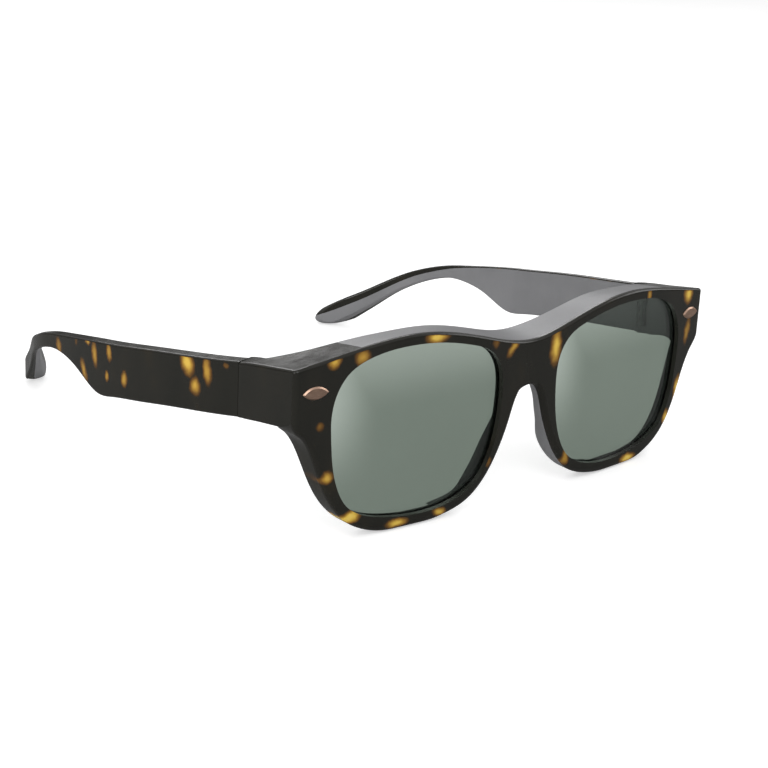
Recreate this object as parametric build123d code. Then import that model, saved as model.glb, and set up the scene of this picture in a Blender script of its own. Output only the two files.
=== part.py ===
from build123d import *
import math
import os

# Fitover sunglasses, in millimetres. +X is the wearer's left, -Y the front, +Z up.
# They stand on the two rims and the two temple tips. The model is drawn with y = 0 at the
# middle of the front face, and is moved at the end so that the origin lies on the surface
# under the middle of the whole frame. The wearer's left half is drawn and then mirrored.

# Overall sizes
front_half_width = 73.3
front_height = 51.0
overall_depth = 161.0
face_radius = 505.0
cut_overrun = 6.0

# Layers of the front
face_layer = 1.4
side_layer = 1.1
lens_thickness = 1.4
lens_clearance = 0.1
ledge_depth = 0.5
lens_slot_end = face_layer + lens_thickness + 2 * lens_clearance
ring_depth = lens_slot_end + ledge_depth
shelf_thickness = 2.2

# Lens openings, each an oval-cornered shape between the bridge, the sides, top and bottom
bridge_half_width = 9.8
rim_side = 10.3
rim_top = 2.7
rim_low = 3.1
opening_half_width = (front_half_width - rim_side - bridge_half_width) / 2
opening_half_height = (front_height - rim_top - rim_low) / 2
opening_centre_x = bridge_half_width + opening_half_width
opening_centre_z = rim_low + opening_half_height
groove_bite = 0.9
opening_shares = [
    (1.0, 0.19), (0.977, -0.164), (0.905, -0.518), (0.792, -0.739), (0.603, -0.876),
    (0.319, -0.96), (-0.02, -1.0), (-0.304, -0.978), (-0.539, -0.903), (-0.743, -0.761),
    (-0.883, -0.518), (-0.97, -0.173), (-1.0, 0.19), (-0.966, 0.544), (-0.845, 0.748),
    (-0.588, 0.881), (-0.248, 0.969), (0.168, 1.0), (0.603, 0.929), (0.819, 0.801),
    (0.947, 0.588),
]

# Outline of the front, seen from ahead: shares of its half width and of its height
side_edge_shares = [
    (1.0, 0.64), (0.963, 0.561), (0.903, 0.386), (0.854, 0.222), (0.786, 0.1),
    (0.689, 0.0235), (0.587, 0.0),
]
foot_inner_share = 0.464
nose_edge_shares = [
    (0.464, 0.0), (0.379, 0.01), (0.307, 0.035), (0.252, 0.069), (0.192, 0.143),
    (0.118, 0.31), (0.079, 0.447), (0.05, 0.55),
]
nose_arch_shares = [(0.03, 0.583), (0.0, 0.595)]
nose_back_shares = [
    (0.464, 0.0), (0.379, 0.01), (0.307, 0.035), (0.257, 0.073), (0.201, 0.143),
    (0.128, 0.31), (0.092, 0.447), (0.079, 0.55),
]
nose_back_arch_shares = [(0.05, 0.633), (0.0, 0.65)]
nose_flare_start = -1.2
nose_flare_end = 8.0

# Top surface of the front: heights along the half width, at four depths
top_width_shares = [0.0, 0.2, 0.4, 0.55, 0.7, 0.85, 0.95, 1.06]
top_height_shares = [
    (0.857, 0.913, 0.982, 1.0, 0.983, 0.951, 0.927, 0.905),
    (0.857, 0.913, 0.98, 0.997, 0.98, 0.948, 0.924, 0.9),
    (0.863, 0.92, 0.973, 0.975, 0.961, 0.929, 0.906, 0.876),
    (0.863, 0.92, 0.961, 0.957, 0.941, 0.912, 0.884, 0.843),
    (0.863, 0.92, 0.943, 0.922, 0.902, 0.873, 0.841, 0.805),
]
top_depths = [-1.0, 3.0, 10.0, 18.0, 29.0]

# Hollow behind the lenses: shares of half width and height
hollow_edge_shares = [
    (0.105, 0.657), (0.106, 0.549), (0.119, 0.441), (0.144, 0.343), (0.186, 0.235),
    (0.244, 0.137), (0.323, 0.0765), (0.389, 0.053), (0.464, 0.043),
]
hollow_side_shares = [
    (0.587, 0.043), (0.682, 0.062), (0.771, 0.133), (0.832, 0.237), (0.883, 0.402),
    (0.931, 0.557), (0.951, 0.66),
]
hollow_roof_share = 0.716

# Back edges of the front, seen from above: x as a share of the half width, y in named depths
shelf_depth = 11.0
shelf_edge_shares = [
    (0.0, 1.0), (0.2, 0.87), (0.41, 0.94), (0.61, 1.12), (0.78, 1.35), (0.89, 1.63), (0.951, 1.98),
]
rim_depth = 7.0
rim_edge_shares = [
    (0.0, 0.62), (0.068, 0.61), (0.095, 0.63), (0.118, 0.79), (0.145, 0.96), (0.18, 0.97),
    (0.22, 0.92), (0.28, 0.86), (0.38, 0.88), (0.49, 0.98), (0.61, 1.07), (0.71, 1.17),
    (0.785, 1.3), (0.835, 1.42), (0.885, 1.55), (0.93, 1.72), (1.06, 2.0),
]

# Side arms of the front and the seam with the temples
arm_thickness = 3.6
arm_inner_x = front_half_width - arm_thickness
seam_y = 28.0
seam_gap = 0.15
arm_reach_share = 0.82
arm_lower_shares = [
    (1.0, 0.553), (0.643, 0.586), (0.5, 0.592), (0.43, 0.573), (0.389, 0.537), (0.375, 0.48),
]
arm_ridge_shares = [
    (1.0, 0.553), (0.82, 0.568), (0.643, 0.584), (0.45, 0.599), (0.33, 0.614), (0.25, 0.638),
]
arm_skin_start_share = 0.5
arm_lap = 0.4
corner_lap_share = 0.74

# Rounded edges of the front, those of its face only below its crown
crown_share = 0.84
face_edge_radius = 1.5
arm_edge_radius = 0.8

# Ornaments at the upper corners
ornament_inset = 5.7
ornament_height_share = 0.786
ornament_x = front_half_width - ornament_inset
ornament_z = ornament_height_share * front_height
ornament_length = 7.1
ornament_height = 3.3
ornament_rise = 0.45
ornament_sink = 0.5
ornament_bevel = 0.35
ornament_pin_radius = 0.7
ornament_pin_length = 3.0

# Hinges: a steel eye on the front between the two barrels of a steel fork in the temple
hinge_inset = 0.5
hinge_lead = 3.6
hinge_height_share = 0.712
hinge_x = arm_inner_x - hinge_inset
hinge_y = seam_y - hinge_lead
hinge_z = hinge_height_share * front_height
barrel_radius = 1.25
barrel_gap = 0.1
eye_height = 4.0
eye_low = hinge_z - eye_height / 2
eye_high = hinge_z + eye_height / 2
fork_height = 10.0
fork_low = hinge_z - fork_height / 2
fork_high = hinge_z + fork_height / 2
leaf_thickness = 0.8
leaf_inset = 0.05
eye_leaf_length = 4.9
leaf_edge_margin = 0.5
fork_neck_lead = 1.7
fork_jog_lead = 0.8
fork_jog_reach = 1.5
fork_jog = 0.75
fork_tang_reach = 9.0
fork_tang_lean = 1.2
pocket_clearance = 0.45
pocket_depth = 1.2
pocket_drop = 0.3
tongue_lead = 1.85
tongue_drop = 2.1
tongue_rise = 0.3

# Pivot screw and the small screw of the eye
pivot_radius = 0.6
pivot_clearance = 0.05
pivot_head_radius = 1.05
pivot_head_height = 0.65
screw_slot_width = 0.3
screw_slot_depth = 0.3
eye_screw_reach = 2.5
eye_screw_head_radius = 0.75
eye_screw_head_height = 0.45
eye_screw_radius = 0.45
eye_screw_length = 2.0

# Temples, station by station from the seam to the tip. The first table holds, as shares of
# the overall depth and the front's height, the top edge (y, z) and the bottom edge (y, z).
# The second holds the middle (x) as a share of the front's half width, the thickness as a
# share of the arm's, and how far the outer layer laps down the inner face.
seam_share = (seam_y + seam_gap) / overall_depth
temple_line_shares = [
    (seam_share, 0.839, seam_share, 0.555),
    (0.2547, 0.798, 0.2547, 0.514),
    (0.3416, 0.757, 0.3416, 0.471),
    (0.4224, 0.716, 0.4224, 0.4255),
    (0.4907, 0.68, 0.4907, 0.386),
    (0.531, 0.661, 0.531, 0.3667),
    (0.5683, 0.641, 0.5683, 0.396),
    (0.6087, 0.618, 0.6087, 0.445),
    (0.6522, 0.592, 0.6522, 0.4725),
    (0.7019, 0.561, 0.6988, 0.4745),
    (0.7547, 0.514, 0.7453, 0.441),
    (0.8075, 0.449, 0.7919, 0.382),
    (0.8571, 0.359, 0.8385, 0.294),
    (0.9037, 0.259, 0.882, 0.182),
    (0.9472, 0.171, 0.9255, 0.0765),
    (0.9832, 0.098, 0.9627, 0.002),
    (1.02, 0.045, 1.01, -0.003),
]
temple_bow_shares = [
    (0.9755, 1.0, 0.16),
    (1.004, 0.97, 0.16),
    (1.027, 0.94, 0.16),
    (1.042, 0.92, 0.16),
    (1.049, 0.92, 0.16),
    (1.0505, 0.9, 0.16),
    (1.049, 0.89, 0.16),
    (1.045, 0.87, 0.18),
    (1.038, 0.84, 0.25),
    (1.031, 0.79, 0.45),
    (1.02, 0.74, 0.65),
    (0.993, 0.71, 0.8),
    (0.945, 0.76, 0.95),
    (0.895, 1.05, 1.0),
    (0.847, 1.5, 0.95),
    (0.795, 1.55, 0.75),
    (0.7206, 1.45, 0.5),
]
temple_lap = 2.2
temple_fall_share = 0.18
temple_edge_radius = 0.6
tip_end_share = 0.748
tip_end_height = 1.1
tip_end_inset = 0.35
tip_round_radius = 5.0
tip_round_length = 22.0
temple_recess_reach = 34.0
temple_recess_height_share = 0.5
temple_recess_length = 3.2
temple_recess_height = 0.7
temple_recess_depth = 0.35


def prism_y(face, start, end):
    """Stretch a face drawn in (x, z) from y = start to y = end."""
    return extrude(Plane.XZ.offset(-start) * face, amount=end - start, dir=(0, 1, 0))


def prism_z(face, start, end):
    """Stretch a face drawn in (x, y) from z = start to z = end."""
    return extrude(Plane.XY.offset(start) * face, amount=end - start, dir=(0, 0, 1))


def prism_x(face, start, end):
    """Stretch a face drawn in (y, z) from x = start to x = end."""
    return extrude(Plane.YZ.offset(start) * face, amount=end - start, dir=(1, 0, 0))


def block(x_range, y_range, z_range):
    """A box between pairs of limits."""
    size = [high - low for low, high in (x_range, y_range, z_range)]
    middle = [(high + low) / 2 for low, high in (x_range, y_range, z_range)]
    return Pos(*middle) * Box(*size)


def placed(shares, width, height):
    return [(across * width, up * height) for across, up in shares]


def flipped(points):
    return [(-x, y) for x, y in reversed(points)]


def behind_face(depth):
    """Everything further back than a surface this deep behind the curved front face."""
    height = 4 * front_height
    return Pos(0, face_radius, 0) * Cylinder(face_radius - depth, height)


def inset(points, distance):
    """Move the points of a line sideways, to its right, by a distance."""
    moved = []
    for index, (x, z) in enumerate(points):
        before = points[max(index - 1, 0)]
        after = points[min(index + 1, len(points) - 1)]
        length = math.dist(before, after)
        across = ((after[1] - before[1]) / length, (before[0] - after[0]) / length)
        moved.append((x + across[0] * distance, z + across[1] * distance))
    return moved


def front_outline():
    side = placed(side_edge_shares, front_half_width, front_height)
    ceiling = front_height + cut_overrun
    top_right = (front_half_width, ceiling)
    top_left = (-front_half_width, ceiling)
    side_curve = Spline(*side, tangents=[(-0.28, -1), (-1, 0)])
    mirror_curve = Spline(*flipped(side), tangents=[(-1, 0), (-0.28, 1)])
    return make_face([
        side_curve,
        Line(side[-1], flipped(side)[0]),
        mirror_curve,
        Line(flipped(side)[-1], top_left),
        Line(top_left, top_right),
        Line(top_right, side[0]),
    ])


def nose_gap_face(edge_shares, arch_shares):
    edge = placed(edge_shares, front_half_width, front_height)
    arch = placed(arch_shares, front_half_width, front_height)
    arch_line = [edge[-1]] + arch + flipped(arch[:-1]) + [flipped(edge)[0]]
    floor = -cut_overrun
    return make_face([
        Spline(*edge, tangents=[(-1, 0), (-0.4, 1)]),
        Spline(*arch_line, tangents=[(-0.5, 1), (-0.5, -1)]),
        Spline(*flipped(edge), tangents=[(-0.4, -1), (-1, 0)]),
        Line(flipped(edge)[-1], (-edge[0][0], floor)),
        Line((-edge[0][0], floor), (edge[0][0], floor)),
        Line((edge[0][0], floor), edge[0]),
    ])


def nose_gap():
    ahead = Plane.XZ.offset(-nose_flare_start) * nose_gap_face(nose_edge_shares, nose_arch_shares)
    back = Plane.XZ.offset(-nose_flare_end) * nose_gap_face(nose_back_shares, nose_back_arch_shares)
    return loft([ahead, back], ruled=True)


def below_top(drop):
    """Everything under the top surface of the front, lowered by a drop."""
    sections = []
    for depth, heights in zip(top_depths, top_height_shares):
        half = placed(zip(top_width_shares, heights), front_half_width, front_height)
        half = [(x, z - drop) for x, z in half]
        crest = flipped(half[1:]) + half
        floor = -2 * cut_overrun
        left = (crest[0][0], floor)
        right = (crest[-1][0], floor)
        face = make_face([
            Spline(*crest),
            Line(crest[-1], right),
            Line(right, left),
            Line(left, crest[0]),
        ])
        sections.append(Plane.XZ.offset(-depth) * face)
    return loft(sections)


def plan_face(edge):
    """Seen from above, everything ahead of a back edge given for the left half."""
    crest = flipped(edge[1:]) + edge
    ahead = -cut_overrun
    return make_face([
        Spline(*crest),
        Line(crest[-1], (crest[-1][0], ahead)),
        Line((crest[-1][0], ahead), (crest[0][0], ahead)),
        Line((crest[0][0], ahead), crest[0]),
    ])


def hollow():
    nose = placed(hollow_edge_shares, front_half_width, front_height)
    side = placed(hollow_side_shares, front_half_width, front_height)
    roof = hollow_roof_share * front_height
    ceiling = front_height + cut_overrun
    half = [
        Line((0, roof), (nose[0][0] / 2, roof)),
        Spline((nose[0][0] / 2, roof), *nose, tangents=[(1, 0), (1, 0)]),
        Line(nose[-1], side[0]),
        Spline(*side, tangents=[(1, 0), (0.1, 1)]),
        Line(side[-1], (side[-1][0], ceiling)),
        Line((side[-1][0], ceiling), (0, ceiling)),
        Line((0, ceiling), (0, roof)),
    ]
    space = prism_y(make_face(half), 0, overall_depth)
    space = space + mirror(space, about=Plane.YZ)
    return space & behind_face(ring_depth) & below_top(shelf_thickness)


def opening_face(bite):
    points = placed(opening_shares, opening_half_width + bite, opening_half_height + bite)
    moved = [(x + opening_centre_x, z + opening_centre_z) for x, z in points]
    return make_face([Spline(*moved, periodic=True)])


def both_sides(shape):
    return shape + mirror(shape, about=Plane.YZ)


def front_body():
    """The whole front as one shape, before it is parted into its two mouldings."""
    outline = prism_y(front_outline(), 0, seam_y)
    shelf_edge = placed(shelf_edge_shares, front_half_width, shelf_depth)
    shelf = prism_z(plan_face(shelf_edge), 0, front_height)
    rim_edge = placed(rim_edge_shares, front_half_width, rim_depth)
    rim = prism_z(plan_face(rim_edge), 0, front_height)

    lower = placed(arm_lower_shares, seam_y, front_height)
    arm_profile = make_face([
        Line((-cut_overrun, lower[-1][1]), lower[-1]),
        Spline(*reversed(lower), tangents=[(0.05, 1), (1, -0.16)]),
        Line(lower[0], (seam_y, front_height)),
        Line((seam_y, front_height), (-cut_overrun, front_height)),
        Line((-cut_overrun, front_height), (-cut_overrun, lower[-1][1])),
    ])
    arm_start = arm_reach_share * front_half_width
    arm_band = prism_x(arm_profile, arm_start, front_half_width)
    arm = block((arm_inner_x, front_half_width), (0, seam_y), (0, front_height))
    upper = (shelf & block((arm_start, front_half_width), (0, seam_y), (0, front_height))) + arm
    upper = upper & arm_band

    brow = shelf & block((-arm_start, arm_start), (0, seam_y), (0, front_height))
    brow = brow - below_top(shelf_thickness)
    walls = rim + brow + both_sides(upper)
    body = outline & walls & below_top(0) & behind_face(0)
    body = body - nose_gap() - hollow()
    return body


def face_y(x):
    """How far back the curved front face lies at a distance from the middle."""
    return face_radius - math.sqrt(face_radius ** 2 - x ** 2)


def arm_side():
    """The flat side of one arm, down to the ridge where it leaves the side wall."""
    ridge = placed(arm_ridge_shares, seam_y, front_height)
    profile = make_face([
        Spline(*ridge),
        Line(ridge[-1], (ridge[-1][0], front_height)),
        Line((ridge[-1][0], front_height), (seam_y, front_height)),
        Line((seam_y, front_height), ridge[0]),
    ])
    return prism_x(profile, arm_inner_x, front_half_width)


def rounded_front():
    body = front_body()
    on_face = [
        edge for edge in body.edges()
        if abs(edge.position_at(0).Y - face_y(edge.position_at(0).X)) < face_edge_radius / 9
        and abs(edge.position_at(1).Y - face_y(edge.position_at(1).X)) < face_edge_radius / 9
    ]
    low = [edge for edge in on_face if edge.center().Z < crown_share * front_height]
    body = fillet(low, face_edge_radius) + (both_sides(arm_side()) & below_top(0))
    arm_edges = [
        edge for edge in body.edges()
        if abs(abs(edge.center().X) - front_half_width) < arm_edge_radius / 9
        and edge.center().Y > seam_y / 3 and edge.center().Z > ornament_z
    ]
    return fillet(arm_edges, arm_edge_radius)


def inner_moulding_space():
    """Everything inside the outer moulding: behind its face, between its sides, under its laps."""
    side = inset(placed(side_edge_shares, front_half_width, front_height), side_layer)
    ceiling = front_height + cut_overrun
    floor = -cut_overrun
    foot = foot_inner_share * front_half_width
    foot_z = side[-1][1]
    half = make_face([
        Spline(*side, tangents=[(-0.28, -1), (-1, 0)]),
        Line(side[-1], (foot, foot_z)),
        Line((foot, foot_z), (foot, floor)),
        Line((foot, floor), (0, floor)),
        Line((0, floor), (0, ceiling)),
        Line((0, ceiling), (side[0][0], ceiling)),
        Line((side[0][0], ceiling), side[0]),
    ])
    layer_x = front_half_width - side_layer
    arm = block((0, layer_x), (arm_skin_start_share * seam_y, overall_depth), (0, ceiling))
    lap_x = corner_lap_share * front_half_width
    lap = block((lap_x, front_half_width), (0, overall_depth), (ornament_z, ceiling))
    lap = lap - below_top(arm_lap)
    return both_sides(prism_y(half, 0, overall_depth) + arm - lap) & behind_face(face_layer)


def openings():
    return both_sides(prism_y(opening_face(0), -cut_overrun, 2 * cut_overrun))


def ornament_place():
    turn = math.degrees(math.asin(ornament_x / face_radius))
    return Pos(ornament_x, face_y(ornament_x), ornament_z) * Rot(0, 0, turn)


def ornament():
    """A pointed oval head with a bevelled rim, on a short pin."""
    tip = ornament_length / 2
    crest = ornament_height / 2
    face = make_face([
        ThreePointArc((-tip, 0), (0, crest), (tip, 0)),
        ThreePointArc((tip, 0), (0, -crest), (-tip, 0)),
    ])
    head = prism_y(face, -ornament_rise, ornament_sink)
    front_edges = head.faces().sort_by(Axis.Y)[0].edges()
    head = chamfer(front_edges, ornament_bevel)
    pin = Pos(0, (ornament_sink + ornament_pin_length) / 2, 0) * Rot(90, 0, 0) * Cylinder(
        ornament_pin_radius, ornament_pin_length - ornament_sink)
    return ornament_place() * (head + pin)


def lens():
    shape = prism_y(opening_face(groove_bite), 0, 2 * cut_overrun)
    front = behind_face(face_layer + lens_clearance)
    back = behind_face(face_layer + lens_clearance + lens_thickness)
    return (shape & front) - back


def lens_slot():
    shape = prism_y(opening_face(groove_bite + lens_clearance), 0, 2 * cut_overrun)
    return (shape & behind_face(face_layer)) - behind_face(lens_slot_end)


def upright(radius, low, high):
    """A cylinder on the hinge axis."""
    return Pos(hinge_x, hinge_y, (low + high) / 2) * Cylinder(radius, high - low)


def pivot_bore():
    return upright(pivot_radius + pivot_clearance, fork_low - cut_overrun, fork_high + cut_overrun)


def leaf_x():
    return arm_inner_x + leaf_inset


def hinge_eye():
    leaf = block(
        (leaf_x(), leaf_x() + leaf_thickness),
        (hinge_y - eye_leaf_length, hinge_y),
        (eye_low + leaf_edge_margin, eye_high - leaf_edge_margin))
    shape = upright(barrel_radius, eye_low, eye_high) + leaf
    return shape - pivot_bore() - eye_screw_shape()


def along_x(radius, start, length, y, z):
    return Pos(start + length / 2, y, z) * Rot(0, 90, 0) * Cylinder(radius, length)


def eye_screw_shape():
    """The small screw of the eye before its slot is cut."""
    y = hinge_y - eye_screw_reach
    head = along_x(eye_screw_head_radius, leaf_x(), eye_screw_head_height, y, hinge_z)
    shank = along_x(eye_screw_radius, leaf_x(), eye_screw_length, y, hinge_z)
    return head + shank


def eye_screw():
    y = hinge_y - eye_screw_reach
    slot = block(
        (leaf_x() - cut_overrun, leaf_x() + screw_slot_depth),
        (y - screw_slot_width / 2, y + screw_slot_width / 2),
        (hinge_z - cut_overrun, hinge_z + cut_overrun))
    return eye_screw_shape() - slot


def fork_plan():
    """The fork's leaf from above: straight beside the barrels, then leaning into the temple."""
    inner = [
        (leaf_x(), seam_y - fork_neck_lead),
        (leaf_x(), seam_y - fork_jog_lead),
        (leaf_x() + fork_jog, seam_y + fork_jog_reach),
        (leaf_x() + fork_jog + fork_tang_lean, seam_y + fork_tang_reach),
    ]
    outer = [(x + leaf_thickness, y) for x, y in reversed(inner)]
    return make_face(Polyline(*inner, *outer, close=True))


def hinge_fork():
    low_top = eye_low - barrel_gap
    high_bottom = eye_high + barrel_gap
    shape = prism_z(fork_plan(), fork_low + leaf_edge_margin, fork_high - leaf_edge_margin)
    for low, high in ((fork_low, low_top), (high_bottom, fork_high)):
        cheek = block(
            (leaf_x(), leaf_x() + leaf_thickness),
            (hinge_y, seam_y - fork_neck_lead),
            (max(low, fork_low + leaf_edge_margin), min(high, fork_high - leaf_edge_margin)))
        shape = shape + upright(barrel_radius, low, high) + cheek
    return shape - pivot_bore()


def pivot_screw():
    head = upright(pivot_head_radius, fork_high, fork_high + pivot_head_height)
    shape = upright(pivot_radius, fork_low, fork_high) + head
    slot = block(
        (hinge_x - screw_slot_width / 2, hinge_x + screw_slot_width / 2),
        (hinge_y - cut_overrun, hinge_y + cut_overrun),
        (fork_high + pivot_head_height - screw_slot_depth, fork_high + cut_overrun))
    return shape - slot


def hinge_pocket():
    """What is cut from the inner moulding's arm so that the hinge can turn."""
    across = (arm_inner_x - cut_overrun, arm_inner_x + pocket_depth)
    clear_y = hinge_y - barrel_radius - pocket_clearance
    past_seam = seam_y + cut_overrun
    half_gap = barrel_gap / 2
    tongue_y = seam_y - tongue_lead
    shape = block(across, (tongue_y - seam_gap, past_seam), (0, front_height))
    shape = shape + block(
        across, (clear_y, past_seam), (fork_low - pocket_drop, eye_low - half_gap))
    shape = shape + block(across, (clear_y, past_seam), (eye_high + half_gap, front_height))
    return shape + upright(barrel_radius + half_gap, eye_low - half_gap, eye_high + half_gap)


def front_pieces():
    body = rounded_front()
    space = inner_moulding_space()
    ornaments = both_sides(ornament())
    outer = body - space - openings() - ornaments
    inner = (body & space) - openings() - both_sides(lens_slot()) - ornaments
    hinge_cut = hinge_pocket() + hinge_eye() + eye_screw_shape()
    inner = inner - both_sides(hinge_cut)
    return outer, inner


def temple_stations():
    """Each station as its top edge, bottom edge, middle, thickness and lap, in millimetres."""
    stations = []
    for line, bow in zip(temple_line_shares, temple_bow_shares):
        top_y, top_z, bottom_y, bottom_z = line
        middle, thickness, lap = bow
        stations.append((
            (top_y * overall_depth, top_z * front_height),
            (bottom_y * overall_depth, bottom_z * front_height),
            middle * front_half_width,
            thickness * arm_thickness,
            lap * temple_lap,
        ))
    return stations


def run_on(line):
    """Lengthen a line of points past its end, straight on."""
    last, before = line[-1], line[-2]
    reach = cut_overrun / math.dist(last, before)
    return line + [(last[0] + (last[0] - before[0]) * reach, last[1] + (last[1] - before[1]) * reach)]


def temple_side_prism():
    """The temple's side view, stretched across; its top falls towards the outside."""
    stations = temple_stations()
    inside = stations[-1][2] - 5 * arm_thickness
    across = 2 * front_half_width - inside
    tops, bottoms = [], []
    for top, bottom, middle, thickness, lap in stations:
        lift = temple_fall_share * (middle - inside)
        tops.append((top[0], top[1] + lift))
        bottoms.append((bottom[0], bottom[1] + lift))
    face = make_face([
        Spline(*tops),
        Line(tops[-1], bottoms[-1]),
        Spline(*reversed(bottoms)),
        Line(bottoms[0], tops[0]),
    ])
    way = (1, 0, -temple_fall_share)
    return extrude(Plane.YZ.offset(inside) * face, amount=across * math.hypot(*way), dir=way)


def temple_middles():
    """The temple's middle line seen from above."""
    return [
        (middle, (top[0] + bottom[0]) / 2)
        for top, bottom, middle, thickness, lap in temple_stations()
    ]


def temple_plan_prism():
    """The temple's plan, stretched upwards."""
    middles = temple_middles()
    halves = [thickness / 2 for top, bottom, middle, thickness, lap in temple_stations()]
    outer = [inset(middles, half)[index] for index, half in enumerate(halves)]
    inner = [inset(middles, -half)[index] for index, half in enumerate(halves)]
    outer[0] = (middles[0][0] + halves[0], middles[0][1])
    inner[0] = (middles[0][0] - halves[0], middles[0][1])
    outer, inner = run_on(outer), run_on(inner)
    face = make_face([
        Spline(*outer),
        Line(outer[-1], inner[-1]),
        Spline(*reversed(inner)),
        Line(inner[0], outer[0]),
    ])
    return prism_z(face, -2 * cut_overrun, 2 * front_height)


def temple_tip_space():
    """Everything up to the tip, whose end is rounded like an egg's."""
    top, bottom, middle, thickness, lap = temple_stations()[-3]
    before = Vector(middle, (top[0] + bottom[0]) / 2, (top[1] + bottom[1]) / 2)
    end_y = overall_depth - tip_end_inset
    end = Vector(tip_end_share * front_half_width, end_y, tip_end_height)
    way = (end - before).normalized()
    outline = make_face([
        EllipticalCenterArc(
            (0, 0), tip_round_length, tip_round_radius, start_angle=0, arc_size=90),
        Line((0, tip_round_radius), (0, 0)),
        Line((0, 0), (tip_round_length, 0)),
    ])
    cap = Plane(end - way * tip_round_length, z_dir=way) * (Rot(0, -90, 0) * revolve(outline, Axis.X))
    rest = Plane(before, z_dir=way) * Pos(0, 0, -overall_depth) * Box(
        2 * overall_depth, 2 * overall_depth, 2 * overall_depth)
    return cap + rest


def temple_body():
    body = temple_side_prism() & temple_plan_prism()
    long_edges = [edge for edge in body.edges() if edge.length > overall_depth / 2]
    body = fillet(long_edges, temple_edge_radius) & temple_tip_space()
    floor = block(
        (0, 2 * front_half_width), (0, 2 * overall_depth), (-front_height, 0))
    return body - floor


def inner_temple_space():
    """The side of the temple nearer the head, below the outer layer's lap over the top."""
    stations = temple_stations()
    middles = temple_middles()
    first, last = middles[0], middles[-1]
    start = (first[0], first[1] - cut_overrun)
    finish = (last[0], last[1] + cut_overrun)
    near = last[0] - 4 * cut_overrun
    plan = make_face([
        Line(start, first),
        Spline(*middles),
        Line(last, finish),
        Line(finish, (near, finish[1])),
        Line((near, finish[1]), (near, start[1])),
        Line((near, start[1]), start),
    ])
    parting = []
    for top, bottom, middle, thickness, lap in stations:
        part_share = lap / math.dist(top, bottom)
        parting.append((
            top[0] + (bottom[0] - top[0]) * part_share,
            top[1] + (bottom[1] - top[1]) * part_share,
        ))
    first, last = parting[0], parting[-1]
    start = (first[0] - cut_overrun, first[1])
    finish = (last[0] + cut_overrun, last[1])
    floor = -cut_overrun
    side = make_face([
        Line(start, first),
        Spline(*parting),
        Line(last, finish),
        Line(finish, (finish[0], floor)),
        Line((finish[0], floor), (start[0], floor)),
        Line((start[0], floor), start),
    ])
    return prism_z(plan, floor, 2 * front_height) & prism_x(side, 0, 2 * front_half_width)


def temple_inner_x(y):
    """Where the temple's inner face lies at a distance behind the front."""
    stations = temple_stations()
    for before, after in zip(stations, stations[1:]):
        if before[0][0] <= y <= after[0][0]:
            part = (y - before[0][0]) / (after[0][0] - before[0][0])
            middle = before[2] + (after[2] - before[2]) * part
            thickness = before[3] + (after[3] - before[3]) * part
            return middle - thickness / 2
    return arm_inner_x


def temple_recess():
    y = seam_y + temple_recess_reach
    z = temple_recess_height_share * front_height
    surface = temple_inner_x(y)
    return block(
        (surface - cut_overrun, surface + temple_recess_depth),
        (y - temple_recess_length / 2, y + temple_recess_length / 2),
        (z - temple_recess_height / 2, z + temple_recess_height / 2))


def temple_pieces():
    body = temple_body()
    space = inner_temple_space()
    outer = body - space
    tongue = block(
        (leaf_x(), arm_inner_x + pocket_depth - seam_gap),
        (seam_y - tongue_lead, seam_y + seam_gap),
        (fork_low - tongue_drop, fork_high + tongue_rise))
    barrel_space = upright(barrel_radius + pocket_clearance, 0, front_height)
    inner = (body & space) + (tongue - barrel_space)
    inner = inner - hinge_fork() - temple_recess()
    return outer, inner


def write(name, shape):
    """Save one piece, moved so that the origin is under the middle of the frame."""
    moved = Pos(0, -overall_depth / 2, 0) * shape
    export_step(moved, f"parts/{name}.step")


def write_pair(name, shape):
    write(f"left_{name}", shape)
    write(f"right_{name}", mirror(shape, about=Plane.YZ))


os.makedirs("parts", exist_ok=True)

outer_front, inner_front = front_pieces()
write("front_frame", outer_front)
write("front_liner", inner_front)

outer_temple, inner_temple = temple_pieces()
write_pair("temple_shell", outer_temple)
write_pair("temple_liner", inner_temple)
write_pair("lens", lens())
write_pair("corner_ornament", ornament())
write_pair("hinge_eye", hinge_eye())
write_pair("hinge_eye_screw", eye_screw())
write_pair("hinge_fork", hinge_fork())
write_pair("hinge_pivot_screw", pivot_screw())
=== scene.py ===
import math

import bpy
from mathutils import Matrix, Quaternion, Vector


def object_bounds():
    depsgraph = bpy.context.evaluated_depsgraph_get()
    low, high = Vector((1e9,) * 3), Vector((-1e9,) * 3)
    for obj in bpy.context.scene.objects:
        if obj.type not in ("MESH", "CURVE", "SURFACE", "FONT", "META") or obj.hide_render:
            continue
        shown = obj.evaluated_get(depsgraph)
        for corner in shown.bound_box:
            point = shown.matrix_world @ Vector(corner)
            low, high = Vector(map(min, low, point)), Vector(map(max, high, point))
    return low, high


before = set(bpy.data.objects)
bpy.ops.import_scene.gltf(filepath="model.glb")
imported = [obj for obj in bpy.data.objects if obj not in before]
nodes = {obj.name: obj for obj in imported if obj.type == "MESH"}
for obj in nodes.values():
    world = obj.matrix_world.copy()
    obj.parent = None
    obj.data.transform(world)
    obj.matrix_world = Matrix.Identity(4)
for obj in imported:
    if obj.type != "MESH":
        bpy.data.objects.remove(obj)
cad_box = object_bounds()
x_axis, y_axis = 0, 1

# Camera, from the photograph's perspective; the image is 768 pixels square
image_px = 768
camera_place = Vector((-0.3056, -0.3762, 0.1694))
camera_azimuth = math.radians(-40.8)
camera_elevation = math.radians(18.24)
camera_roll = math.radians(2.77)
focal_mm = 79.98
sensor_mm = 36.0
nearest_seen = 0.01

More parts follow.
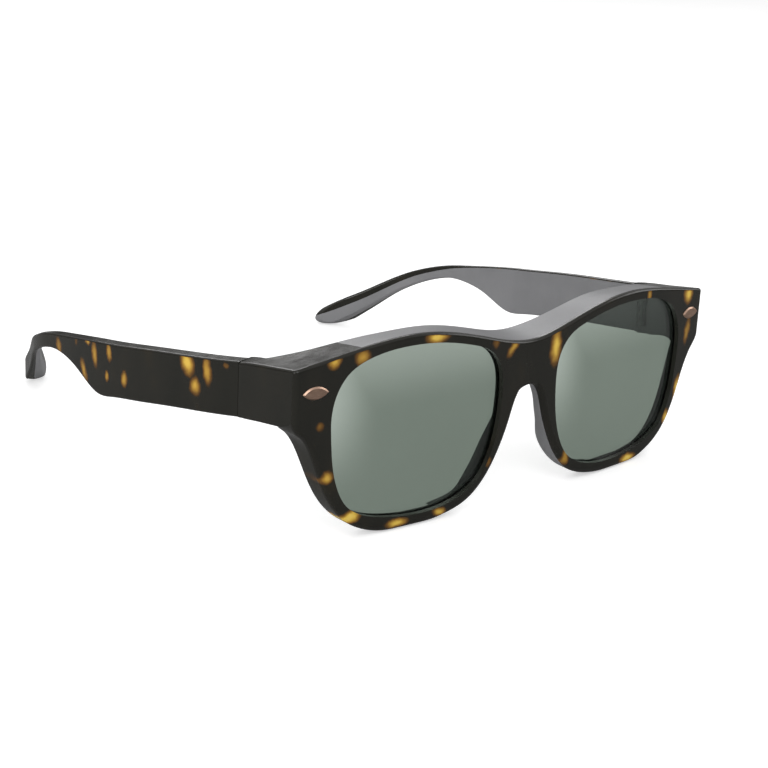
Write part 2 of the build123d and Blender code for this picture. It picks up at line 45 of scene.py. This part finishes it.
# Studio: the floor's size and how far it lies below the object, and the lamps
floor_size = 6.0
floor_drop = 0.0002
lamps = {
    "key_lamp": {"place": (-0.55, -0.75, 0.95), "size": (0.7, 0.7), "power": 4.0},
    "back_lamp": {"place": (0.40, 0.85, 0.66), "size": (0.75, 0.45), "power": 3.6},
    "side_lamp": {"place": (1.0, -0.45, 0.55), "size": (0.6, 0.6), "power": 2.5},
    "left_lamp": {"place": (-1.0, -0.05, 0.30), "size": (0.5, 0.4), "power": 3.5},
}
lamp_target = Vector((0, -0.01, 0.025))

# Room: how bright it is behind the object, through the lenses and to matt surfaces. Gloss sees
# it brighten from low down to high up; a height is the Z of the unit vector that looks there.
room_white = 1.0
room_lens_white = 1.9
room_matt = 0.5
room_gloss_heights = (0.05, 0.45)
room_gloss = (0.06, 0.6)

# Floor: its glow to the camera and through the lenses, and what gloss sees of glow and paint
floor_glow = 0.5
floor_lens_glow = 1.35
floor_gloss_share = 0.1
floor_gloss_paint = (0.22, 0.22, 0.22)

# Front face: the radius of its curve, where it lies, and the rounds that settle a point on it
face_radius = 0.505
face_front = cad_box[0][1]
face_rounds = 4

# Amber flecks seen in the photograph: pixel place, half width and half height in pixels,
# lean in degrees and strength
front_flecks = [
    (438, 337, 11, 7, 0, 1.0), (335, 362, 6, 8, 0, 0.75), (363, 357, 7, 8, 0, 0.65),
    (327, 478, 5, 7, 0, 0.7), (320, 427, 4, 5, 0, 0.35), (350, 518, 11, 7, 25, 1.0),
    (397, 523, 10, 5, 0, 0.9), (439, 512, 7, 5, -20, 0.75), (488, 462, 3, 6, 0, 0.35),
    (497, 342, 4, 7, 0, 0.35), (514, 347, 4, 12, -40, 0.65),
    (556, 347, 6, 18, 0, 0.85), (565, 458, 4, 10, 0, 0.65), (627, 458, 9, 5, 0, 0.95),
    (665, 417, 4, 8, 0, 0.75), (676, 388, 4, 13, -8, 0.85), (687, 330, 4, 13, -8, 0.55),
    (689, 294, 6, 9, 0, 0.85), (650, 295, 3, 6, 0, 0.6),
]
temple_flecks = [
    (187, 362, 6.5, 13, -14, 0.78), (195, 386, 5, 9, 12, 0.7), (207, 370, 4, 15, -6, 0.62),
    (226, 366, 3, 3, 0, 0.3), (90, 339, 3.5, 5, 0, 0.75), (94.5, 354, 3.5, 13, -6, 0.6),
    (109, 352, 3, 9, -8, 0.62), (59, 346, 4, 9, -15, 0.5), (84, 371, 3.5, 12, -24, 0.58),
    (107, 376, 2.5, 6, 0, 0.55), (124, 379, 3.3, 8, 0, 0.62), (76, 341, 2.5, 5, 0, 0.25),
]

# A fleck fades from nothing to its full strength between two shares of its half width, and is
# long enough to go through the moulding. Its outline wavers by the reach of a noise.
fleck_fade_shares = (1.5, 0.1)
fleck_length = 1000
waver_reach = 0.0014

# Faces carry no flecks where the Z of their normal is high, and all of them where it is low
fleck_normals = (0.5, 0.2)

# Noises, in waves per metre; a small stretch draws a noise out along that axis
waver_noise = {"per_metre": 420.0, "detail": 3.0}
cloud_noise = {"per_metre": 160.0, "detail": 3.0}
brown_noise = {"per_metre": 90.0, "detail": 4.0, "stretch": (1, 1, 0.5)}
smudge_noise = {"per_metre": 260.0, "detail": 3.0}
ripple_noise = {"per_metre": 520.0, "detail": 1.0}
shade_noise = {"per_metre": 70.0, "detail": 4.0}
grain_noise = {"per_metre": 2600.0, "detail": 3.0, "roughness": 0.7}
tint_noise = {"per_metre": 25.0, "detail": 2.0}
lens_smudge_noise = {"per_metre": 180.0, "detail": 4.0}
steel_noise = {"per_metre": 3000.0, "detail": 3.0, "stretch": (1, 1, 0.15)}
bronze_noise = {"per_metre": 3000.0, "detail": 3.0, "stretch": (0.2, 1, 1)}
floor_noise = {"per_metre": 30.0, "detail": 3.0}
noise_middle = (0.5, 0.5, 0.5)

# Tortoiseshell: how its clouds change the amber, where amber takes over from brown, its gloss
cloud_range = (0.2, 0.6)
cloud_effect = (0.75, 1.05)
amber_edge = (0.02, 0.25)
shell_gloss = 0.38
shell_smudges = (0.3, 0.7)
shell_rough = (0.14, 0.22)
shell_ripple = {"strength": 0.12, "depth": 0.0002}

# Grey plastic: its gloss, and how rough and deep its moulded grain is
plastic_gloss = 0.45
plastic_grains = (0.3, 0.7)
plastic_rough = (0.36, 0.46)
plastic_grain = {"strength": 0.15, "depth": 0.00008}

# Lenses: their smudges, and a painted reflection that lightens a zone along one side and the
# top. The shares are of the lens's width from that side, or of its height from the bottom.
lens_bending = 1.5
lens_smudges = (0.45, 0.8)
lens_rough = (0.0, 0.03)
painted_reflection_side_shares = (0.30, 0.0)
painted_reflection_side_height_shares = (0.15, 0.75)
painted_reflection_top_shares = (0.62, 1.0)
painted_reflection_top = (0.0, 0.6)

# Brushed metal: the roughness of its darkest and lightest streaks, and their depth
metal_streaks = (0.2, 0.8)
steel_rough = (0.24, 0.36)
bronze_rough = (0.34, 0.46)
metal_groove = {"strength": 0.1, "depth": 0.00003}

# Colours: a place along a noise or along the strength of the amber, and the colour there
brown_colours = [
    (0.35, (0.014, 0.014, 0.011)), (0.6, (0.018, 0.017, 0.013)), (0.8, (0.028, 0.022, 0.013)),
]
amber_colours = [
    (0.0, (0.02, 0.012, 0.005)), (0.3, (0.14, 0.065, 0.014)), (0.6, (0.44, 0.24, 0.035)),
    (0.85, (0.80, 0.54, 0.085)), (1.0, (0.86, 0.62, 0.13)),
]
plastic_colours = [(0.3, (0.20, 0.20, 0.207)), (0.7, (0.235, 0.235, 0.243))]
lens_colours = [(0.3, (0.110, 0.134, 0.113)), (0.7, (0.117, 0.142, 0.120))]
# Painted reflection on the lenses: the colour of their lighter zone along one side and the top
painted_reflection_colour = (0.25, 0.285, 0.255)
steel_colours = [(0.3, (0.36, 0.36, 0.37)), (0.7, (0.5, 0.5, 0.51))]
bronze_colours = [(0.3, (0.52, 0.34, 0.25)), (0.7, (0.66, 0.45, 0.34))]
floor_colours = [(0.3, (0.80, 0.80, 0.80)), (0.7, (0.83, 0.83, 0.83))]


def looking():
    """The unit vector along which the camera looks."""
    level = math.cos(camera_elevation)
    return Vector((
        -math.sin(camera_azimuth) * level,
        math.cos(camera_azimuth) * level,
        -math.sin(camera_elevation),
    ))


camera_turn = looking().to_track_quat("-Z", "Y") @ Quaternion((0, 0, 1), camera_roll)
focal_px = focal_mm / sensor_mm * image_px


def add_camera():
    data = bpy.data.cameras.new("camera")
    data.lens = focal_mm
    data.sensor_width = sensor_mm
    data.clip_start = nearest_seen
    camera = bpy.data.objects.new("camera", data)
    bpy.context.scene.collection.objects.link(camera)
    camera.location = camera_place
    camera.rotation_mode = "QUATERNION"
    camera.rotation_quaternion = camera_turn
    bpy.context.scene.camera = camera


def add(tree, kind, **settings):
    """A new shader node."""
    node = tree.nodes.new(kind)
    for name, value in settings.items():
        setattr(node, name, value)
    return node


def plug(tree, source, target):
    """Link a socket or set a number, vector or colour."""
    if isinstance(source, bpy.types.NodeSocket):
        tree.links.new(source, target)
    else:
        target.default_value = source


def opaque(colour):
    return (*colour, 1)


def axes(tree, kind):
    """The X, Y and Z sockets of one kind of texture coordinate."""
    split = add(tree, "ShaderNodeSeparateXYZ")
    plug(tree, add(tree, "ShaderNodeTexCoord").outputs[kind], split.inputs["Vector"])
    return split.outputs


def combine(tree, operation, first, second, clamp=False):
    """Two numbers put together by a math operation."""
    node = add(tree, "ShaderNodeMath", operation=operation, use_clamp=clamp)
    plug(tree, first, node.inputs[0])
    plug(tree, second, node.inputs[1])
    return node.outputs["Value"]


def combine_vectors(tree, operation, first, second):
    node = add(tree, "ShaderNodeVectorMath", operation=operation)
    plug(tree, first, node.inputs[0])
    plug(tree, second, node.inputs[1])
    return node.outputs["Vector"]


def length(tree, vector):
    node = add(tree, "ShaderNodeVectorMath", operation="LENGTH")
    plug(tree, vector, node.inputs[0])
    return node.outputs["Value"]


def remap(tree, value, source, target=(0.0, 1.0)):
    """The value moved smoothly from one range to another, and kept inside it."""
    node = add(tree, "ShaderNodeMapRange", interpolation_type="SMOOTHSTEP")
    plug(tree, value, node.inputs["Value"])
    plug(tree, source[0], node.inputs["From Min"])
    plug(tree, source[1], node.inputs["From Max"])
    plug(tree, target[0], node.inputs["To Min"])
    plug(tree, target[1], node.inputs["To Max"])
    return node.outputs["Result"]


def noise(tree, place, per_metre, detail, roughness=0.5, stretch=(1, 1, 1), output="Fac"):
    """A noise fixed to the object, as a value or, with output Color, as a vector."""
    mapping = add(tree, "ShaderNodeMapping")
    plug(tree, [per_metre * share for share in stretch], mapping.inputs["Scale"])
    plug(tree, place, mapping.inputs["Vector"])
    node = add(tree, "ShaderNodeTexNoise")
    plug(tree, 1.0, node.inputs["Scale"])
    plug(tree, detail, node.inputs["Detail"])
    plug(tree, roughness, node.inputs["Roughness"])
    plug(tree, mapping.outputs["Vector"], node.inputs["Vector"])
    return node.outputs[output]


def ramp(tree, value, stops):
    """The colour at a value, between the stops' colours."""
    node = add(tree, "ShaderNodeValToRGB")
    elements = node.color_ramp.elements
    for place, _ in stops[1:-1]:
        elements.new(place)
    for element, (place, colour) in zip(elements, stops):
        element.position = place
        element.color = opaque(colour)
    plug(tree, value, node.inputs["Fac"])
    return node.outputs["Color"]


def mix(tree, kind, share, first, second):
    """The first where the share is 0 and the second where it is 1; kind is RGBA or FLOAT."""
    node = add(tree, "ShaderNodeMix", data_type=kind)
    plug(tree, share, node.inputs["Factor"])
    plug(tree, first, node.inputs["A"])
    plug(tree, second, node.inputs["B"])
    return node.outputs["Result"]


def bump(tree, height, strength, depth):
    node = add(tree, "ShaderNodeBump")
    plug(tree, strength, node.inputs["Strength"])
    plug(tree, depth, node.inputs["Distance"])
    plug(tree, height, node.inputs["Height"])
    return node.outputs["Normal"]


def material(name):
    """A new material with its node tree, its main shader and the object's coordinates."""
    made = bpy.data.materials.new(name)
    made.use_nodes = True
    tree = made.node_tree
    shader = tree.nodes["Principled BSDF"]
    place = add(tree, "ShaderNodeTexCoord").outputs["Object"]
    return made, tree, shader, place


def sight(across, down):
    """The unit vector from the camera through a pixel of the photograph."""
    middle = image_px / 2
    way = Vector(((across - middle) / focal_px, (middle - down) / focal_px, -1))
    return camera_turn @ way.normalized()


def on_face(across, down):
    """Where a pixel's line of sight meets the curved front face."""
    way = sight(across, down)
    back = 0.0
    for _ in range(face_rounds):
        place = camera_place + way * ((face_front + back - camera_place.y) / way.y)
        back = place.x ** 2 / (2 * face_radius)
    return place


def on_temple(across, down):
    """Where a pixel's line of sight meets the near temple."""
    near_temple = nodes["right_temple_shell"]
    found, place, *_ = near_temple.ray_cast(camera_place, sight(across, down))
    if not found:
        raise ValueError(f"pixel {across}, {down} misses the temple")
    return place


def fleck_field(tree, place, meets, flecks, along):
    """How amber the surface is, from 0 to 1, for flecks that lie along one axis and up."""
    right = camera_turn @ Vector((1, 0, 0))
    up = camera_turn @ Vector((0, 1, 0))
    through = y_axis if along == x_axis else x_axis
    lean_sign = -1 if along == x_axis else 1
    total = 0.0
    for across, down, half_width, half_height, lean, strength in flecks:
        centre = meets(across, down)
        per_px = (centre - camera_place).length / focal_px
        at = [0, 0, centre.z]
        at[along] = centre[along]
        size = [fleck_length, fleck_length, half_height * per_px / abs(up.z)]
        size[along] = half_width * per_px / abs(right[along])
        turn = [0, 0, 0]
        turn[through] = math.radians(lean) * lean_sign
        mapping = add(tree, "ShaderNodeMapping", vector_type="TEXTURE")
        plug(tree, at, mapping.inputs["Location"])
        plug(tree, turn, mapping.inputs["Rotation"])
        plug(tree, size, mapping.inputs["Scale"])
        plug(tree, place, mapping.inputs["Vector"])
        distance = length(tree, mapping.outputs["Vector"])
        near = remap(tree, distance, fleck_fade_shares, (0.0, strength))
        total = combine(tree, "MAXIMUM", near, total)
    return total


def wavered(tree, place):
    """The coordinates shifted by a noise, so that outlines drawn with them waver."""
    reach = (waver_reach, waver_reach, waver_reach)
    shift = noise(tree, place, **waver_noise, output="Color")
    shift = combine_vectors(tree, "SUBTRACT", shift, noise_middle)
    shift = combine_vectors(tree, "MULTIPLY", shift, reach)
    return combine_vectors(tree, "ADD", place, shift)


def tortoiseshell(name, meets, flecks, along):
    """Dark brown with amber flecks, glossy and slightly rippled."""
    made, tree, shader, place = material(name)
    amber = fleck_field(tree, wavered(tree, place), meets, flecks, along)
    cloud = remap(tree, noise(tree, place, **cloud_noise), cloud_range, cloud_effect)
    amber = combine(tree, "MULTIPLY", amber, cloud, clamp=True)
    upright = remap(tree, axes(tree, "Normal")["Z"], fleck_normals)
    amber = combine(tree, "MULTIPLY", amber, upright)
    brown = ramp(tree, noise(tree, place, **brown_noise), brown_colours)
    amber_share = remap(tree, amber, amber_edge)
    colour = mix(tree, "RGBA", amber_share, brown, ramp(tree, amber, amber_colours))
    plug(tree, colour, shader.inputs["Base Color"])
    smudge = noise(tree, place, **smudge_noise)
    plug(tree, remap(tree, smudge, shell_smudges, shell_rough), shader.inputs["Roughness"])
    plug(tree, shell_gloss, shader.inputs["Specular IOR Level"])
    ripple = noise(tree, place, **ripple_noise)
    plug(tree, bump(tree, ripple, **shell_ripple), shader.inputs["Normal"])
    return made


def grey_plastic(name):
    """Matt grey with a fine grain."""
    made, tree, shader, place = material(name)
    shade = noise(tree, place, **shade_noise)
    plug(tree, ramp(tree, shade, plastic_colours), shader.inputs["Base Color"])
    grain = noise(tree, place, **grain_noise)
    plug(tree, remap(tree, grain, plastic_grains, plastic_rough), shader.inputs["Roughness"])
    plug(tree, bump(tree, grain, **plastic_grain), shader.inputs["Normal"])
    plug(tree, plastic_gloss, shader.inputs["Specular IOR Level"])
    return made


def lens_tint_and_reflection(name):
    """Green-grey glass, with a painted reflection that lightens it along one side and the top.
    """
    made, tree, shader, place = material(name)
    tint = ramp(tree, noise(tree, place, **tint_noise), lens_colours)
    lens = axes(tree, "Generated")
    # Painted reflection: the glass colour is lightened along one side and over the top
    side = remap(tree, lens["X"], painted_reflection_side_shares)
    side_fade = remap(tree, lens["Z"], painted_reflection_side_height_shares)
    side = combine(tree, "MULTIPLY", side, side_fade)
    top = remap(tree, lens["Z"], painted_reflection_top_shares, painted_reflection_top)
    painted_reflection_share = combine(tree, "MAXIMUM", side, top)
    colour = mix(tree, "RGBA", painted_reflection_share, tint, opaque(painted_reflection_colour))
    plug(tree, colour, shader.inputs["Base Color"])
    plug(tree, 1.0, shader.inputs["Transmission Weight"])
    plug(tree, lens_bending, shader.inputs["IOR"])
    smudge = noise(tree, place, **lens_smudge_noise)
    plug(tree, remap(tree, smudge, lens_smudges, lens_rough), shader.inputs["Roughness"])
    return made


def brushed_metal(name, streaks, colours, rough):
    """Metal with fine grooves, drawn out along the axis of its streaks' small stretch."""
    made, tree, shader, place = material(name)
    streak = noise(tree, place, **streaks)
    plug(tree, ramp(tree, streak, colours), shader.inputs["Base Color"])
    plug(tree, 1.0, shader.inputs["Metallic"])
    plug(tree, remap(tree, streak, metal_streaks, rough), shader.inputs["Roughness"])
    plug(tree, bump(tree, streak, **metal_groove), shader.inputs["Normal"])
    return made


def add_room():
    """White behind the object and through the lenses, and softer to all other rays."""
    world = bpy.data.worlds.new("studio")
    bpy.context.scene.world = world
    world.use_nodes = True
    tree = world.node_tree
    background = tree.nodes["Background"]
    rays = add(tree, "ShaderNodeLightPath").outputs
    height = axes(tree, "Generated")["Z"]
    gloss = remap(tree, height, room_gloss_heights, room_gloss)
    level = mix(tree, "FLOAT", rays["Is Glossy Ray"], room_matt, gloss)
    level = mix(tree, "FLOAT", rays["Is Camera Ray"], level, room_white)
    level = mix(tree, "FLOAT", rays["Is Transmission Ray"], level, room_lens_white)
    plug(tree, level, background.inputs["Strength"])
    plug(tree, opaque((1, 1, 1)), background.inputs["Color"])


def floor_paint():
    """A pale matt paint that glows a little, so that the floor is as white as the room."""
    made, tree, shader, place = material("floor")
    output = tree.nodes["Material Output"]
    tree.nodes.remove(shader)
    rays = add(tree, "ShaderNodeLightPath").outputs
    glossy = rays["Is Glossy Ray"]
    pale = add(tree, "ShaderNodeBsdfDiffuse")
    paint = ramp(tree, noise(tree, place, **floor_noise), floor_colours)
    paint = mix(tree, "RGBA", glossy, paint, opaque(floor_gloss_paint))
    plug(tree, paint, pale.inputs["Color"])
    glow = add(tree, "ShaderNodeEmission")
    level = combine(tree, "MULTIPLY", glossy, floor_gloss_share * floor_glow)
    level = mix(tree, "FLOAT", rays["Is Camera Ray"], level, floor_glow)
    level = mix(tree, "FLOAT", rays["Is Transmission Ray"], level, floor_lens_glow)
    plug(tree, level, glow.inputs["Strength"])
    together = add(tree, "ShaderNodeAddShader")
    plug(tree, pale.outputs["BSDF"], together.inputs[0])
    plug(tree, glow.outputs["Emission"], together.inputs[1])
    plug(tree, together.outputs["Shader"], output.inputs["Surface"])
    return made


def add_floor():
    half = floor_size / 2
    mesh = bpy.data.meshes.new("floor")
    corners = [(-half, -half, 0), (half, -half, 0), (half, half, 0), (-half, half, 0)]
    mesh.from_pydata(corners, [], [(0, 1, 2, 3)])
    mesh.materials.append(floor_paint())
    floor = bpy.data.objects.new("floor", mesh)
    floor.location.z = -floor_drop
    bpy.context.scene.collection.objects.link(floor)


def add_lamps():
    for name, lamp in lamps.items():
        data = bpy.data.lights.new(name, "AREA")
        data.shape = "RECTANGLE"
        data.size, data.size_y = lamp["size"]
        data.energy = lamp["power"]
        light = bpy.data.objects.new(name, data)
        light.location = lamp["place"]
        way = lamp_target - Vector(lamp["place"])
        light.rotation_mode = "QUATERNION"
        light.rotation_quaternion = way.to_track_quat("-Z", "Y")
        light.visible_camera = False
        bpy.context.scene.collection.objects.link(light)


def both(name):
    """The names of a piece's left and right copies."""
    return [f"left_{name}", f"right_{name}"]


def dress(finish, *names):
    """Give CAD nodes a finish as their only material."""
    for name in names:
        slots = nodes[name].data.materials
        slots.clear()
        slots.append(finish)


bpy.context.scene.view_settings.view_transform = "Standard"
add_camera()
bpy.context.view_layer.update()
add_room()
add_floor()
add_lamps()

front_shell = tortoiseshell("front_tortoiseshell", on_face, front_flecks, x_axis)
temple_shell = tortoiseshell("temple_tortoiseshell", on_temple, temple_flecks, y_axis)
steel = brushed_metal("hinge_steel", steel_noise, steel_colours, steel_rough)
bronze = brushed_metal("ornament_bronze", bronze_noise, bronze_colours, bronze_rough)

dress(front_shell, "front_frame")
dress(temple_shell, *both("temple_shell"))
dress(grey_plastic("grey_plastic"), "front_liner", *both("temple_liner"))
dress(lens_tint_and_reflection("lens_tint_and_reflection"), *both("lens"))
dress(bronze, *both("corner_ornament"))
for hinge_piece in ["hinge_eye", "hinge_eye_screw", "hinge_fork", "hinge_pivot_screw"]:
    dress(steel, *both(hinge_piece))
